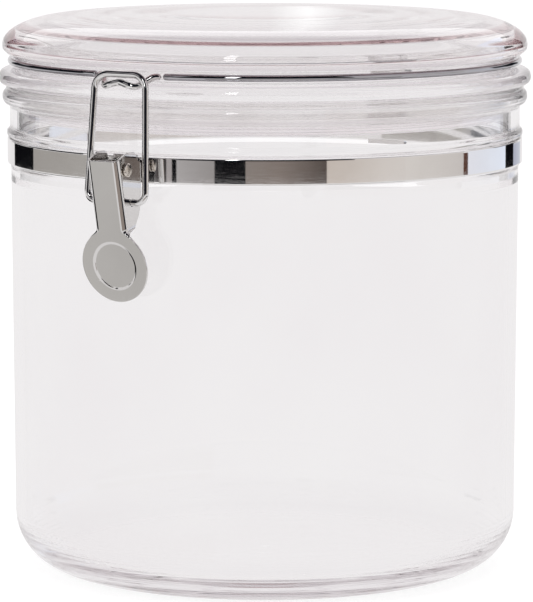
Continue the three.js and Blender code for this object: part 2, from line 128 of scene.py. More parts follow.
def rounded(corners, closed=False, steps=8, support=0.3):
    """Outline through (a, b, radius) corners, each corner rounded and straight runs held flat."""
    count = len(corners)
    outline = []
    for i, (a, b, radius) in enumerate(corners):
        here = Vector((a, b))
        if radius == 0 or (not closed and i in (0, count - 1)):
            outline.append(here)
            continue
        before = Vector(corners[i - 1][:2]) - here
        after = Vector(corners[(i + 1) % count][:2]) - here
        angle = before.angle(after)
        reach = min(radius / math.tan(angle / 2), before.length * 0.49, after.length * 0.49)
        true_radius = reach * math.tan(angle / 2)
        start = here + before.normalized() * reach
        end = here + after.normalized() * reach
        centre = here + (before.normalized() + after.normalized()).normalized() * (
            true_radius / math.sin(angle / 2))
        ray_a, ray_b = start - centre, end - centre
        turn = ray_a.angle_signed(ray_b)
        for k in range(steps + 1):
            ray = ray_a.copy()
            ray.rotate(Matrix.Rotation(-turn * k / steps, 2))
            outline.append(centre + ray)
    return with_supports(outline, closed, support)


def with_supports(outline, closed, support):
    """Adds a point just inside each end of every long straight run."""
    result = []
    count = len(outline)
    runs = count if closed else count - 1
    for i in range(runs):
        p, q = outline[i], outline[(i + 1) % count]
        result.append(p)
        run = (q - p).length
        if run > 5 * support:
            result.append(p.lerp(q, support / run))
            result.append(p.lerp(q, 1 - support / run))
    if not closed:
        result.append(outline[-1])
    clean = [result[0]]
    for p in result[1:]:
        if (p - clean[-1]).length > 1e-4:
            clean.append(p)
    return [(p.x, p.y) for p in clean]


def spline(points, steps=6):
    """Smooth curve through points of any dimension (Catmull-Rom)."""
    pts = [Vector(p) for p in points]
    pts = [2 * pts[0] - pts[1], *pts, 2 * pts[-1] - pts[-2]]
    curve = []
    for i in range(1, len(pts) - 2):
        a, b, c, d = pts[i - 1:i + 3]
        for k in range(steps):
            t = k / steps
            curve.append(0.5 * ((2 * b) + (c - a) * t + (2 * a - 5 * b + 4 * c - d) * t * t
                                + (3 * b - a - 3 * c + d) * t ** 3))
    curve.append(pts[-2])
    return curve


def make_object(name, bm, sharp_angle=None):
    mesh = bpy.data.meshes.new(name)
    bmesh.ops.recalc_face_normals(bm, faces=bm.faces)
    bm.to_mesh(mesh)
    bm.free()
    for polygon in mesh.polygons:
        polygon.use_smooth = True
    if sharp_angle is not None:
        mesh.set_sharp_from_angle(angle=math.radians(sharp_angle))
    piece = bpy.data.objects.new(name, mesh)
    bpy.context.scene.collection.objects.link(piece)
    return piece


def turned(name, outline, closed=False, segments=ROUND, axis=None, sharp_angle=None):
    """Solid of revolution of (radius, height) points in millimetres, about Z or about X at axis."""
    bm = bmesh.new()
    rings = []
    for radius, height in outline:
        if radius < 1e-6:
            rings.append([bm.verts.new((0, 0, height * MM))])
            continue
        ring = []
        for i in range(segments):
            a = 2 * math.pi * i / segments
            across, away = radius * math.cos(a), radius * math.sin(a)
            ring.append(bm.verts.new((across * MM, away * MM, height * MM)))
        rings.append(ring)
    pairs = list(zip(rings[:-1], rings[1:]))
    if closed:
        pairs.append((rings[-1], rings[0]))
    for low, high in pairs:
        for i in range(segments):
            j = (i + 1) % segments
            corners = [low[i % len(low)], low[j % len(low)],
                       high[j % len(high)], high[i % len(high)]]
            unique = list(dict.fromkeys(corners))
            if len(unique) > 2:
                bm.faces.new(unique)
    if axis is not None:
        side, out, up = axis
        along_x = Matrix.Rotation(math.pi / 2, 4, "Y")
        bm.transform(Matrix.Translation((0, side * out * MM, up * MM)) @ along_x)
    return make_object(name, bm, sharp_angle)


def tube(name, path, radius=WIRE, sides=24):
    """Round wire along points in millimetres, with domed ends."""
    pts = [Vector(p) for p in path]
    bm = bmesh.new()
    tangents = []
    for i, p in enumerate(pts):
        ahead = pts[min(i + 1, len(pts) - 1)]
        behind = pts[max(i - 1, 0)]
        tangents.append((ahead - behind).normalized())
    normal = tangents[0].orthogonal().normalized()
    stations = []
    for i, (p, t) in enumerate(zip(pts, tangents)):
        if i:
            normal = tangents[i - 1].rotation_difference(t) @ normal
        normal = (normal - t * normal.dot(t)).normalized()
        stations.append((p, t, normal.copy(), radius))
    dome = 5
    first, last = stations[0], stations[-1]
    head, tail = [], []
    for k in range(1, dome):
        a = math.pi / 2 * k / dome
        shift, size = radius * math.sin(a), radius * math.cos(a)
        head.insert(0, (first[0] + first[1] * (radius - shift), first[1], first[2], size))
        tail.append((last[0] - last[1] * (radius - shift), last[1], last[2], size))
    trimmed = [s for s in stations
               if (s[0] - first[0]).length > radius and (s[0] - last[0]).length > radius]
    trimmed.insert(0, (first[0] + first[1] * radius, first[1], first[2], radius))
    trimmed.append((last[0] - last[1] * radius, last[1], last[2], radius))
    rings = []
    for p, t, n, size in [*head, *trimmed, *tail]:
        side = t.cross(n)
        ring = []
        for k in range(sides):
            a = 2 * math.pi * k / sides
            ring.append(bm.verts.new((p + (n * math.cos(a) + side * math.sin(a)) * size) * MM))
        rings.append(ring)
    for low, high in zip(rings[:-1], rings[1:]):
        for k in range(sides):
            bm.faces.new((low[k], low[(k + 1) % sides], high[(k + 1) % sides], high[k]))
    for ring, tip in ((rings[0], first[0]), (rings[-1], last[0])):
        end = bm.verts.new(tip * MM)
        for k in range(sides):
            bm.faces.new((ring[k], ring[(k + 1) % sides], end))
    return make_object(name, bm)


def slab(name, outline, low, high, place, holes=()):
    """Extrudes a flat outline of (a, b) points from low to high along the third axis of place."""
    bm = bmesh.new()
    bottom = [bm.verts.new((a * MM, b * MM, low * MM)) for a, b in outline]
    top = [bm.verts.new((a * MM, b * MM, high * MM)) for a, b in outline]
    bm.faces.new(bottom[::-1])
    bm.faces.new(top)
    for i in range(len(outline)):
        j = (i + 1) % len(outline)
        bm.faces.new((bottom[i], bottom[j], top[j], top[i]))
    bm.transform(place)
    piece = make_object(name, bm)
    for a, b, radius in holes:
        drill = slab(name + "_drill", circle((a, b), radius, 16), low - 1, high + 1, place)
        combine(piece, drill, "DIFFERENCE")
    return piece


def combine(piece, tool, operation):
    """Boolean of two pieces; the tool is used up."""
    modifier = piece.modifiers.new("combine", "BOOLEAN")
    modifier.operation = operation
    modifier.solver = "EXACT"
    modifier.object = tool
    apply_modifiers(piece)
    bpy.data.objects.remove(tool)
    return piece


def apply_modifiers(piece):
    graph = bpy.context.evaluated_depsgraph_get()
    mesh = bpy.data.meshes.new_from_object(piece.evaluated_get(graph))
    old = piece.data
    piece.modifiers.clear()
    piece.data = mesh
    bpy.data.meshes.remove(old)


def soften(piece, width=0.14, segments=3, angle=32, clamp=True):
    """Rolls over the edges of a stamped piece and shades it smooth."""
    bm = bmesh.new()
    bm.from_mesh(piece.data)
    bmesh.ops.remove_doubles(bm, verts=bm.verts, dist=0.004 * MM)
    bmesh.ops.dissolve_limit(bm, angle_limit=math.radians(1), verts=bm.verts, edges=bm.edges)
    bm.to_mesh(piece.data)
    bm.free()
    modifier = piece.modifiers.new("soften", "BEVEL")
    modifier.width = width * MM
    modifier.segments = segments
    modifier.limit_method = "ANGLE"
    modifier.angle_limit = math.radians(angle)
    modifier.use_clamp_overlap = clamp
    flat = piece.modifiers.new("flat_faces", "WEIGHTED_NORMAL")
    flat.weight = 100
    flat.keep_sharp = False
    for polygon in piece.data.polygons:
        polygon.use_smooth = True
    apply_modifiers(piece)
    return piece


def side_frame(side):
    """Frame whose first axis is out (-Y at the clamp, +Y at the hinge), second up, third across."""
    return Matrix(((0, 0, side, 0), (side, 0, 0, 0), (0, 1, 0, 0), (0, 0, 0, 1)))


# ------------------------------------------------------------------ clear plastic pieces
def canister_body():
    inner_neck = NECK_RADIUS - WALL
    inner_foot = FOOT_RADIUS - WALL
    return turned("body_clear_moulding", rounded([
        (0, 0, 0),
        (FOOT_RADIUS, 0, FOOT_CORNER),
        (NECK_RADIUS, BAND_LOW - 2, 0.6),
        (NECK_RADIUS + BAND_SEAT, BAND_LOW - 0.4, 0.3),
        (NECK_RADIUS + BAND_SEAT, BAND_HIGH + 0.4, 0.2),
        (BAND_OUTER + LEDGE_OUT, BAND_HIGH + 0.9, 0.8),
        (BAND_OUTER + LEDGE_OUT, BAND_HIGH + 2.6, 0.9),
        (NECK_RADIUS + 0.3, BAND_HIGH + 3.6, 0.8),
        (NECK_RADIUS + 0.3, RIM_TOP - 5.6, 1.2),
        (RIM_BEAD, RIM_TOP - 4.2, 2.4),
        (RIM_BEAD, RIM_TOP, 1.9),
        (inner_neck, RIM_TOP, 0.9),
        (inner_neck, BAND_LOW - 4.6, 1.2),
        (inner_neck - 0.4, BAND_LOW - 7, 1.4),
        (inner_foot, FLOOR_THICKNESS, INSIDE_CORNER),
        (0, FLOOR_THICKNESS, 0),
    ], steps=12))


def lid_cover():
    top = spline([
        (LID_EDGE, COVER_LOW + 3.3),
        (LID_EDGE - 0.6, LID_SHOULDER - 7.7),
        (LID_EDGE - 2.6, LID_SHOULDER - 5.4),
        (LID_EDGE - 5.6, LID_SHOULDER - 3.5),
        (LID_EDGE - 9.6, LID_SHOULDER - 1.8),
        (LID_EDGE - 15.6, LID_SHOULDER - 0.5),
        (LID_FLAT_RADIUS + 32, LID_SHOULDER + 0.25),
        (LID_FLAT_RADIUS + 18, LID_SHOULDER + 0.72),
        (LID_FLAT_RADIUS, LID_TOP - 0.2),
        (0, LID_TOP - 0.05),
    ])
    seat = GROOVE_RADIUS - LID_COLLAR
    ceiling = LID_SHOULDER - LID_SKIN
    under = rounded([
        (0, LID_TOP - LID_SKIN, 0),
        (LID_FLAT_RADIUS - 2, LID_TOP - LID_SKIN - 0.1, 60),
        (LID_FLAT_RADIUS + 18, ceiling + 0.7, 60),
        (LID_FLAT_RADIUS + 32, ceiling + 0.2, 60),
        (LID_EDGE - 18.6, ceiling - 0.34, 60),
        (LID_EDGE - 15.6, ceiling - 0.8, 60),
        (LID_EDGE - 12.6, ceiling - 1.5, 60),
        (LID_EDGE - 9.4, ceiling - 2.6, 60),
        (seat, ceiling - 3.3, 0.8),
        (seat, COVER_LOW, 0.4),
        (LID_EDGE - 2.0, COVER_LOW, 0.9),
        (LID_EDGE - 0.2, COVER_LOW + 1.6, 1.4),
        (LID_EDGE, COVER_LOW + 3.2, 0),
    ], steps=10)
    return turned("lid_clear_cover", [*under, *[(p.x, p.y) for p in top]])


def lid_plug():
    inner = PLUG_RADIUS - LID_SKIN
    collar = GROOVE_RADIUS - LID_COLLAR
    return turned("lid_clear_plug", rounded([
        (0, PLUG_BOTTOM, 0),
        (PLUG_RADIUS + PLUG_BEAD, PLUG_BOTTOM, 1.6),
        (PLUG_RADIUS + PLUG_BEAD, PLUG_BOTTOM + 2.4, 0.6),
        (PLUG_RADIUS, PLUG_BOTTOM + 3.1, 0.3),
        (PLUG_RADIUS, FLANGE_LOW, 0.3),
        (LID_FLANGE, FLANGE_LOW, 2.2),
        (LID_FLANGE, GROOVE_LOW - 1.2, 2.6),
        (GROOVE_RADIUS, GROOVE_LOW, 0.8),
        (GROOVE_RADIUS, PLUG_TOP, 0.3),
        (collar, PLUG_TOP, 0.4),
        (collar, GROOVE_LOW + 0.5, 2),
        (inner, FLANGE_LOW + 1, 2),
        (inner, PLUG_BOTTOM + PLUG_FLOOR, 1.6),
        (0, PLUG_BOTTOM + PLUG_FLOOR, 0),
    ], steps=8))


def lid_gasket():
    inside = PLUG_RADIUS + GAP
    low = RIM_TOP + GAP
    high = FLANGE_LOW - GAP
    skirt = PLUG_BOTTOM + 3.4
    return turned("lid_sealing_ring", rounded([
        (inside, skirt, 0.4),
        (inside + GASKET_SKIRT, skirt, 0.7),
        (inside + GASKET_SKIRT, low, 0.3),
        (RIM_BEAD - GASKET_INSET, low, 0.5),
        (RIM_BEAD - GASKET_INSET, high, 0.5),
        (inside, high, 0.2),
    ], closed=True, steps=6), closed=True)


# ------------------------------------------------------------------ wire pieces and neck band
def ring_point(angle):
    return Vector((RING_RADIUS * math.sin(angle), -RING_RADIUS * math.cos(angle), RING_HEIGHT))


def lid_wire_ring():
    first = CATCH_HALF_ANGLE + 2 * GAP / RING_RADIUS
    span = 2 * math.pi - 2 * first
    steps = 220
    path = [ring_point(first + span * i / steps) for i in range(steps + 1)]
    return tube("lid_ring_wire", path)


def lid_catch():
    half = [
        (10.4, 93.2, RING_HEIGHT - 0.2),
        (8.1, 95.2, RING_HEIGHT - 1.9),
        (6.3, 97.8, RING_HEIGHT - 3.2),
        (3.6, 98.9, RING_HEIGHT - 2.7),
    ]
    left = [Vector((-x, -out, up)) for x, out, up in half]
    right = [Vector((x, -out, up)) for x, out, up in reversed(half)]
    middle = Vector((0, -98.4, LOOP_BAR[1] - 2 * WIRE - GAP))
    path = [ring_point(-CATCH_HALF_ANGLE), *left, middle, *right, ring_point(CATCH_HALF_ANGLE)]
    return tube("lid_catch_wire", spline(path, 8))


def steel_band():
    inner = BAND_OUTER - BAND_THICKNESS
    return turned("neck_band", rounded([
        (inner, BAND_LOW, 0.15),
        (BAND_OUTER, BAND_LOW, 0.3),
        (BAND_OUTER, BAND_HIGH, 0.3),
        (inner, BAND_HIGH, 0.15),
    ], closed=True, steps=5), closed=True)


def clamp_loop():
    foot, bar = Vector(LOOP_FOOT), Vector(LOOP_BAR)
    length = (bar - foot).length

    def at(x, along):
        place = foot.lerp(bar, along / length)
        return Vector((x, -place.x, place.y))

    half = rounded([
        (LOOP_FOOT_TIP, 0, 0),
        (LOOP_FOOT_HALF, 0, LOOP_BEND),
        (LOOP_BAR_HALF, length, LOOP_BEND),
        (0, length, 0),
    ], steps=12, support=0.5)
    right = [at(x, along) for x, along in half]
    left = [at(-x, along) for x, along in reversed(half[:-1])]
    return tube("clamp_wire_loop", [*right, *left])


# ------------------------------------------------------------------ lever
def lever_frame():
    up = Vector((0, -math.sin(LEVER_LEAN), math.cos(LEVER_LEAN)))
    out = Vector((0, -math.cos(LEVER_LEAN), -math.sin(LEVER_LEAN)))
    across = Vector((1, 0, 0))
    place = Matrix((across, up, out)).transposed().to_4x4()
    place.translation = Vector((0, -LEVER_TOP[0], LEVER_TOP[1])) * MM
    return place


def lever_section(half, bend, deep):
    """Closed cross-section of the bent sheet: walls of a given depth folded back from the plate."""
    inner_bend = max(bend - SHEET, 0)
    deep = max(deep, SHEET + inner_bend)
    outer = [(half, -deep), *arc((half - bend, -bend), bend, 0, 90, 10)]
    inner = [(half - SHEET, -deep),
             *arc((half - SHEET - inner_bend, -SHEET - inner_bend), inner_bend, 0, 90, 10)]
    return [
        *[(-x, z) for x, z in outer],
        *reversed(outer),
        *inner,
        *[(-x, z) for x, z in reversed(inner)],
    ]


def lever_sheet():
    """The sheet before it is trimmed: a channel that flattens out into the round paddle."""
    above = 9                       # the channel starts this far above the plate's top edge
    deep = 18                       # walls long enough to be trimmed
    flare = 9.6                     # half width where the shoulders meet the paddle's rim
    first = math.degrees(math.acos(flare / PADDLE_RADIUS))
    stations = [
        (above, LEVER_HALF, LEVER_BEND, deep),
        (-24.6, LEVER_HALF, LEVER_BEND, deep),
        (-25.6, LEVER_HALF + 0.1, 1.7, 8),
        (-26.3, LEVER_HALF + 0.5, 1.2, 2.4),
        (-26.9, LEVER_HALF + 1.1, 0.7, SHEET),
        (-27.5, LEVER_HALF + 1.8, 0.3, SHEET),
    ]
    for across, up in arc((0, -PADDLE_DOWN), PADDLE_RADIUS, first, -88.5, 60):
        stations.append((up, across, 0, SHEET))
    bm = bmesh.new()
    loops = []
    for up, half, bend, depth in stations:
        section = lever_section(half, bend, depth)
        loops.append([bm.verts.new((x * MM, up * MM, z * MM)) for x, z in section])
    for upper, lower in zip(loops[:-1], loops[1:]):
        for i in range(len(upper)):
            j = (i + 1) % len(upper)
            bm.faces.new((upper[i], upper[j], lower[j], lower[i]))
    bm.faces.new(loops[0])
    bm.faces.new(loops[-1])
    bmesh.ops.remove_doubles(bm, verts=bm.verts, dist=0.0005 * MM)
    bmesh.ops.dissolve_degenerate(bm, edges=bm.edges, dist=0.0005 * MM)
    bm.transform(lever_frame())
    return make_object("latch_lever_stamping", bm)


def lever_outline():
    """Solid that trims the lever to the outline of its side walls."""
    slope = math.tan(LEVER_LEAN)

    def front(up, offset=0.0):
        return (LEVER_TOP[0] - (LEVER_TOP[1] - up) * slope + offset, up)

    foot_up = 132.5
    below = 104
    outline = rounded([
        (*front(below, 1), 0),
        (*front(LEVER_TOP[1] - slope, 1), 0),
        (LEVER_TOP[0] - SHEET, LEVER_TOP[1] + 0.2, 0),
        (103.4, 160.5, 1.5),
        (98.3, 160.5, 2.4),
        (96.8, 157.3, 0.8),
        (94.7, 156.6, 1.6),
        (94.6, 143.6, 3),
        (95.9, 138.5, 6),
        (99.3, 133.1, 1.2),
        (101.5, 132.55, 0.8),
        (*front(foot_up, -1.3), 0.4),
        (*front(below, -3), 0),
    ], closed=True, steps=8, support=50)
    return slab("lever_outline", outline, -20, 20, side_frame(-1))


def dimple_tool(shift, low, high):
    """Tapered disc that presses the paddle's round recess; shift moves it through the sheet."""
    slope = (DIMPLE_OUTER - DIMPLE_INNER) / DIMPLE_DEPTH
    tool = turned("dimple_tool", rounded([
        (0, low, 0),
        (DIMPLE_INNER + slope * max(low - shift + DIMPLE_DEPTH, 0), low, 0.35),
        (DIMPLE_INNER + slope * (high - shift + DIMPLE_DEPTH), high, 0),
        (0, high, 0),
    ], steps=6, support=0.08), segments=128)
    tool.data.transform(lever_frame() @ Matrix.Translation((0, -PADDLE_DOWN * MM, 0)))
    return tool


def latch_lever():
    lever = lever_sheet()
    combine(lever, lever_outline(), "INTERSECT")
    for centre, radius in ((PIVOT, PIVOT_HOLE), (LOOP_FOOT, WIRE + GAP)):
        drill = slab("lever_drill", circle(centre, radius, 32), -9, 9, side_frame(-1))
        combine(lever, drill, "DIFFERENCE")
    back = -SHEET
    combine(lever, dimple_tool(back, back - DIMPLE_DEPTH, back + 0.2), "UNION")
    combine(lever, dimple_tool(0, -DIMPLE_DEPTH, 0.5), "DIFFERENCE")
    return soften(lever, width=0.16, clamp=False)


# ------------------------------------------------------------------ brackets, pins and hinge
def domed_pin(name, centre, side, half, shank, head):
    outline = []
    for sign in (-1, 1):
        end = rounded([
            (shank, sign * half, 0),
            (head, sign * half, 0.12),
            (head, sign * (half + 0.55), 0.35),
            (head * 0.8, sign * (half + 0.85), 0.3),
            (head * 0.4, sign * (half + 1.04), 1.5),
            (0, sign * (half + 1.08), 0),
        ], steps=6)
        outline += end[::-1] if sign < 0 else end
    return turned(name, outline, segments=48, axis=(side, *centre), sharp_angle=50)


def bracket_ears(name, outline, inner, outer, side, hole):
    left = slab(name, outline, -outer, -inner, side_frame(side), [hole])
    right = slab(name + "_ear", outline, inner, outer, side_frame(side), [hole])
    return combine(left, right, "UNION")


def band_plate(half, side):
    """The part of a bracket that lies on the band."""
    face = BAND_OUTER + GAP
    low, high = BAND_LOW - PLATE_BELOW, BAND_HIGH + PLATE_ABOVE
    outline = [(face, low), (face + SHEET, low), (face + SHEET, high), (face, high)]
    return slab("plate", outline, -half, half, side_frame(side))


def latch_bracket():
    face = BAND_OUTER + GAP
    half = LEVER_HALF - SHEET - 0.6
    ear = 2.5
    outline = [
        (face, BAND_LOW + 1.2),
        (PIVOT[0] - 1.5, PIVOT[1] - ear),
        *arc(PIVOT, ear, -90, 90, 16),
        (face, PIVOT[1] + ear),
    ]
    ears = bracket_ears("latch_bracket_stamping", outline, half - SHEET, half, -1,
                        (*PIVOT, PIVOT_HOLE))
    combine(ears, band_plate(half, -1), "UNION")
    return soften(ears, width=0.12)


def hinge_bracket():
    face = BAND_OUTER + GAP
    ear = 3
    outline = [
        (face, BAND_LOW - PLATE_BELOW),
        (face + 1.6, BAND_LOW - PLATE_BELOW),
        (HINGE[0] + 1.8, BAND_HIGH + 3),
        *arc(HINGE, ear, 0, 180, 24),
        (HINGE[0] - 3.6, HINGE[1] - 6),
        (HINGE[0] - 3.6, BAND_HIGH + 6),
        (face, BAND_HIGH + PLATE_ABOVE),
    ]
    inner = HINGE_HALF - SHEET
    ears = bracket_ears("hinge_bracket_stamping", outline, inner, HINGE_HALF, 1,
                        (*HINGE, HINGE_HOLE))
    web = [(HINGE[0] + 1, BAND_HIGH + 3), (HINGE[0] + 1.8, BAND_HIGH + 3),
           (HINGE[0] + 2.6, HINGE[1] - 9), (HINGE[0] + 1.8, HINGE[1] - 9)]
    combine(ears, band_plate(HINGE_HALF, 1), "UNION")
    combine(ears, slab("web", web, -HINGE_HALF, HINGE_HALF, side_frame(1)), "UNION")
    return soften(ears, width=0.12)


def hinge_tongue():
    half = HINGE_HALF - SHEET - GAP
    heel = RING_RADIUS + WIRE + 0.4
    toe = HINGE[0] - 2.1
    up = HINGE[1]
    knuckle = circle(HINGE, 2.6, 36)
    strap = [(heel, up - 1.5), (heel + SHEET, up - 1.5), (heel + SHEET, up + 0.2),
             (toe, up + 0.2), (toe, up + 1), (heel, up + 1)]
    place = side_frame(1)
    piece = slab("hinge_tongue_roll", knuckle, -half, half, place, [(*HINGE, HINGE_HOLE)])
    combine(piece, slab("strap", strap, -half, half, place), "UNION")
    return soften(piece, width=0.1)


# ------------------------------------------------------------------ materials
class Nodes:
    """Short way to build one material's node tree."""

    def __init__(self, name):
        self.material = bpy.data.materials.new(name)
        self.material.use_nodes = True
        self.tree = self.material.node_tree
        self.shader = self.tree.nodes["Principled BSDF"]
        self.output = self.tree.nodes["Material Output"]

    def add(self, kind, **values):
        node = self.tree.nodes.new(kind)
        for key, value in values.items():
            if key in node.inputs:
                node.inputs[key].default_value = value
            else:
                setattr(node, key, value)
        return node

    def link(self, source, target):
        self.tree.links.new(source, target)

    def noise(self, scale, detail=3.0, stretch=(1, 1, 1)):
        coords = self.add("ShaderNodeTexCoord")
        mapping = self.add("ShaderNodeMapping")
        mapping.inputs["Scale"].default_value = stretch
        self.link(coords.outputs["Object"], mapping.inputs["Vector"])
        noise = self.add("ShaderNodeTexNoise", Scale=scale, Detail=detail)
        self.link(mapping.outputs["Vector"], noise.inputs["Vector"])
        return noise.outputs["Fac"]

    def ramp(self, source, low, high, start=0.35, end=0.65):
        """Colour ramp between two RGB colours."""
        ramp = self.add("ShaderNodeValToRGB")
        for element, place, colour in zip(ramp.color_ramp.elements, (start, end), (low, high)):
            element.position = place
            element.color = (*colour, 1)
        self.link(source, ramp.inputs["Fac"])
        return ramp.outputs["Color"]

    def spread(self, source, low, high):
        """Maps a noise to a range of plain numbers."""
        spread = self.add("ShaderNodeMapRange")
        spread.inputs["From Min"].default_value = 0.3
        spread.inputs["From Max"].default_value = 0.7
        spread.inputs["To Min"].default_value = low
        spread.inputs["To Max"].default_value = high
        self.link(source, spread.inputs["Value"])
        return spread.outputs["Result"]

    def bump(self, source, strength, distance):
        bump = self.add("ShaderNodeBump", Strength=strength, Distance=distance)
        self.link(source, bump.inputs["Height"])
        self.link(bump.outputs["Normal"], self.shader.inputs["Normal"])


PLASTIC_IOR = 1.49
SILICONE_IOR = 1.41


def clear_plastic(name, tint, density):
    """Clear moulding whose long light paths take on the tint."""
    nodes = Nodes(name)
    shader = nodes.shader
    shader.inputs["Transmission Weight"].default_value = 1.0
    shader.inputs["IOR"].default_value = PLASTIC_IOR
    clouds = nodes.ramp(nodes.noise(14), (0.985, 0.98, 0.983), (1, 1, 1))
    nodes.link(clouds, shader.inputs["Base Color"])
    nodes.link(nodes.spread(nodes.noise(60, 2), 0.0, 0.01), shader.inputs["Roughness"])
    nodes.bump(nodes.noise(30, 1), 0.008, 0.0006)
    volume = nodes.add("ShaderNodeVolumeAbsorption")
    volume.inputs["Color"].default_value = (*tint, 1)
    volume.inputs["Density"].default_value = density
    nodes.link(volume.outputs["Volume"], nodes.output.inputs["Volume"])
    return nodes.material


def clear_silicone():
    nodes = Nodes("clear_silicone")
    shader = nodes.shader
    shader.inputs["Transmission Weight"].default_value = 1.0
    shader.inputs["IOR"].default_value = SILICONE_IOR
    clouds = nodes.ramp(nodes.noise(40), (0.9, 0.89, 0.88), (0.97, 0.965, 0.96))
    nodes.link(clouds, shader.inputs["Base Color"])
    nodes.link(nodes.spread(nodes.noise(300, 4), 0.08, 0.14), shader.inputs["Roughness"])
    nodes.bump(nodes.noise(900, 3), 0.02, 0.0001)
    return nodes.material


def polished_metal(name, dark, light, roughness, brush=(1, 1, 1), brush_depth=0.03):
    nodes = Nodes(name)
    shader = nodes.shader
    shader.inputs["Metallic"].default_value = 1.0
    nodes.link(nodes.ramp(nodes.noise(35, 4), dark, light), shader.inputs["Base Color"])
    nodes.link(nodes.spread(nodes.noise(160, 5, brush), *roughness), shader.inputs["Roughness"])
    nodes.bump(nodes.noise(500, 4, brush), brush_depth, 0.0001)
    return nodes.material


BODY_PLASTIC = clear_plastic("clear_plastic_body", (0.80, 0.75, 0.77), 1.5)
PLUG_PLASTIC = clear_plastic("clear_plastic_plug", (0.80, 0.74, 0.77), 2.5)
COVER_PLASTIC = clear_plastic("clear_plastic_cover", (0.80, 0.68, 0.69), 12)
SILICONE = clear_silicone()
CHROME_BAND = polished_metal("mirror_band", (0.80, 0.79, 0.78), (0.86, 0.855, 0.85),
                             (0.02, 0.05), (1, 1, 14), 0.01)
CHROME_WIRE = polished_metal("chromed_wire", (0.72, 0.715, 0.71), (0.78, 0.775, 0.77),
                             (0.03, 0.07))
# Shaded copy of the chromed wire: the ring's darker base colour is painted shade from its groove,
# not a darker metal.
RING_WIRE_PAINTED_SHADE = polished_metal("ring_wire_painted_shade", (0.40, 0.40, 0.42), (0.47, 0.47, 0.49), (0.03, 0.07))
PIN_STEEL = polished_metal("pin_steel", (0.64, 0.59, 0.53), (0.70, 0.65, 0.59), (0.20, 0.28))
STEEL = polished_metal("polished_steel", (0.69, 0.68, 0.67), (0.74, 0.73, 0.72),
                       (0.03, 0.07), (14, 1, 1), 0.01)


# ------------------------------------------------------------------ pieces on their bodies
PIECES = [
    (canister_body, BODY_PLASTIC, "canister", "canister_body", "clear_plastic"),
    (steel_band, CHROME_BAND, "canister", "steel_band", "band_steel"),
    (latch_bracket, STEEL, "canister", "latch_bracket", "stamped_steel"),
    (hinge_bracket, STEEL, "canister", "hinge_bracket", "stamped_steel"),
    (lid_cover, COVER_PLASTIC, "lid", "lid_cover", "clear_plastic"),
    (lid_plug, PLUG_PLASTIC, "lid", "lid_plug", "clear_plastic"),
    (lid_gasket, SILICONE, "lid", "lid_gasket", "silicone"),
    (lid_wire_ring, RING_WIRE_PAINTED_SHADE, "lid", "lid_wire_ring", "chrome_wire"),
    (lid_catch, CHROME_WIRE, "lid", "lid_catch", "chrome_wire"),
    (hinge_tongue, STEEL, "lid", "hinge_tongue", "stamped_steel"),
    (latch_lever, STEEL, "lever", "latch_lever", "stamped_steel"),
    (clamp_loop, CHROME_WIRE, "loop", "clamp_loop", "chrome_wire"),
    (lambda: domed_pin("lever_pin", PIVOT, -1, LEVER_HALF + GAP, shank=1.5, head=2.4),
     PIN_STEEL, "canister", "lever_pivot_pin", "stamped_steel"),
    (lambda: domed_pin("hinge_pin_turned", HINGE, 1, HINGE_HALF + GAP, shank=1.4, head=2.2),
     PIN_STEEL, "canister", "hinge_pin", "stamped_steel"),
]


def build_pieces():
    for make, material, body, node, slot in PIECES:
        piece = make()
        piece.data.materials.clear()
        piece.data.materials.append(material)
        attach(piece, body)
        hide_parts(node)


# ------------------------------------------------------------------ stage, light and camera
CAMERA_AZIMUTH = math.radians(30.6)
CAMERA_DISTANCE = 1.545
CAMERA_HEIGHT = 0.300
LOOK_HEIGHT = 0.097
LOOK_SIDE = 0.0006
LENS = 253.7
SENSOR = 36


def around(angle, radius, height):
    """Point on a circle round the canister, at an angle in degrees from the camera's side."""
    a = CAMERA_AZIMUTH + math.radians(angle)
    return Vector((radius * math.sin(a), -radius * math.cos(a), height))


def add_camera():
    data = bpy.data.cameras.new("camera")
    data.lens = LENS
    data.sensor_width = SENSOR
    data.clip_start = 0.05
    data.clip_end = 60
    camera = bpy.data.objects.new("camera", data)
    bpy.context.scene.collection.objects.link(camera)
    right = Vector((math.cos(CAMERA_AZIMUTH), math.sin(CAMERA_AZIMUTH), 0)) * LOOK_SIDE
    camera.location = around(0, CAMERA_DISTANCE, CAMERA_HEIGHT) + right
    aim = right + Vector((0, 0, LOOK_HEIGHT)) - camera.location
    camera.rotation_euler = aim.to_track_quat("-Z", "Y").to_euler()
    bpy.context.scene.camera = camera


FLOOR_GLOW = 0.84               # the floor is a softly lit table
FLOOR_RADIUS = 14
FLOOR_HEIGHT = -0.0002


def add_floor():
    bm = bmesh.new()
    bmesh.ops.create_circle(bm, cap_ends=True, radius=FLOOR_RADIUS, segments=96)
    bm.transform(Matrix.Translation((0, 0, FLOOR_HEIGHT)))
    floor = make_object("floor", bm)
    nodes = Nodes("floor_paper")
    nodes.shader.inputs["Roughness"].default_value = 0.8
    nodes.shader.inputs["Specular IOR Level"].default_value = 0.1
    nodes.shader.inputs["Emission Color"].default_value = (1, 1, 1, 1)
    nodes.shader.inputs["Emission Strength"].default_value = FLOOR_GLOW
    nodes.link(nodes.ramp(nodes.noise(3), (0.24, 0.24, 0.24), (0.26, 0.26, 0.26)),
               nodes.shader.inputs["Base Color"])
    floor.data.materials.append(nodes.material)


STEEP_LIMIT = 0.76              # Layer Weight facing value beyond which a ray is shallow
COLUMN_STEP = 3                 # degrees between the columns of a sheet


